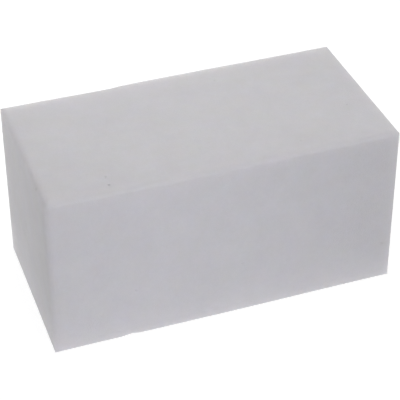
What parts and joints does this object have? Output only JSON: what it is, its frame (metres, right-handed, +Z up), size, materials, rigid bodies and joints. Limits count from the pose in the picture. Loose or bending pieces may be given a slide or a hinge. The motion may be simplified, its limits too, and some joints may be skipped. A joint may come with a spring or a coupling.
{
  "type": "foam block",
  "caption": "Rectangular block of soft white open-cell foam with plain cut faces, for cushioning, packing, propping or craft work on a bench or desk.",
  "frame": {"origin": "middle of the flat base that the block rests on", "axes": "+X along the length, towards the right end; +Y towards the back, so -Y is the long face at the front; +Z up"},
  "size_m": [0.2, 0.099, 0.099],
  "materials": {
    "foam": "soft open-cell polyurethane foam, fine even cells, dull, slightly translucent at the edges"
  },
  "bodies": {
    "root": {"foam_block": "foam"}
  },
  "joints": []
}
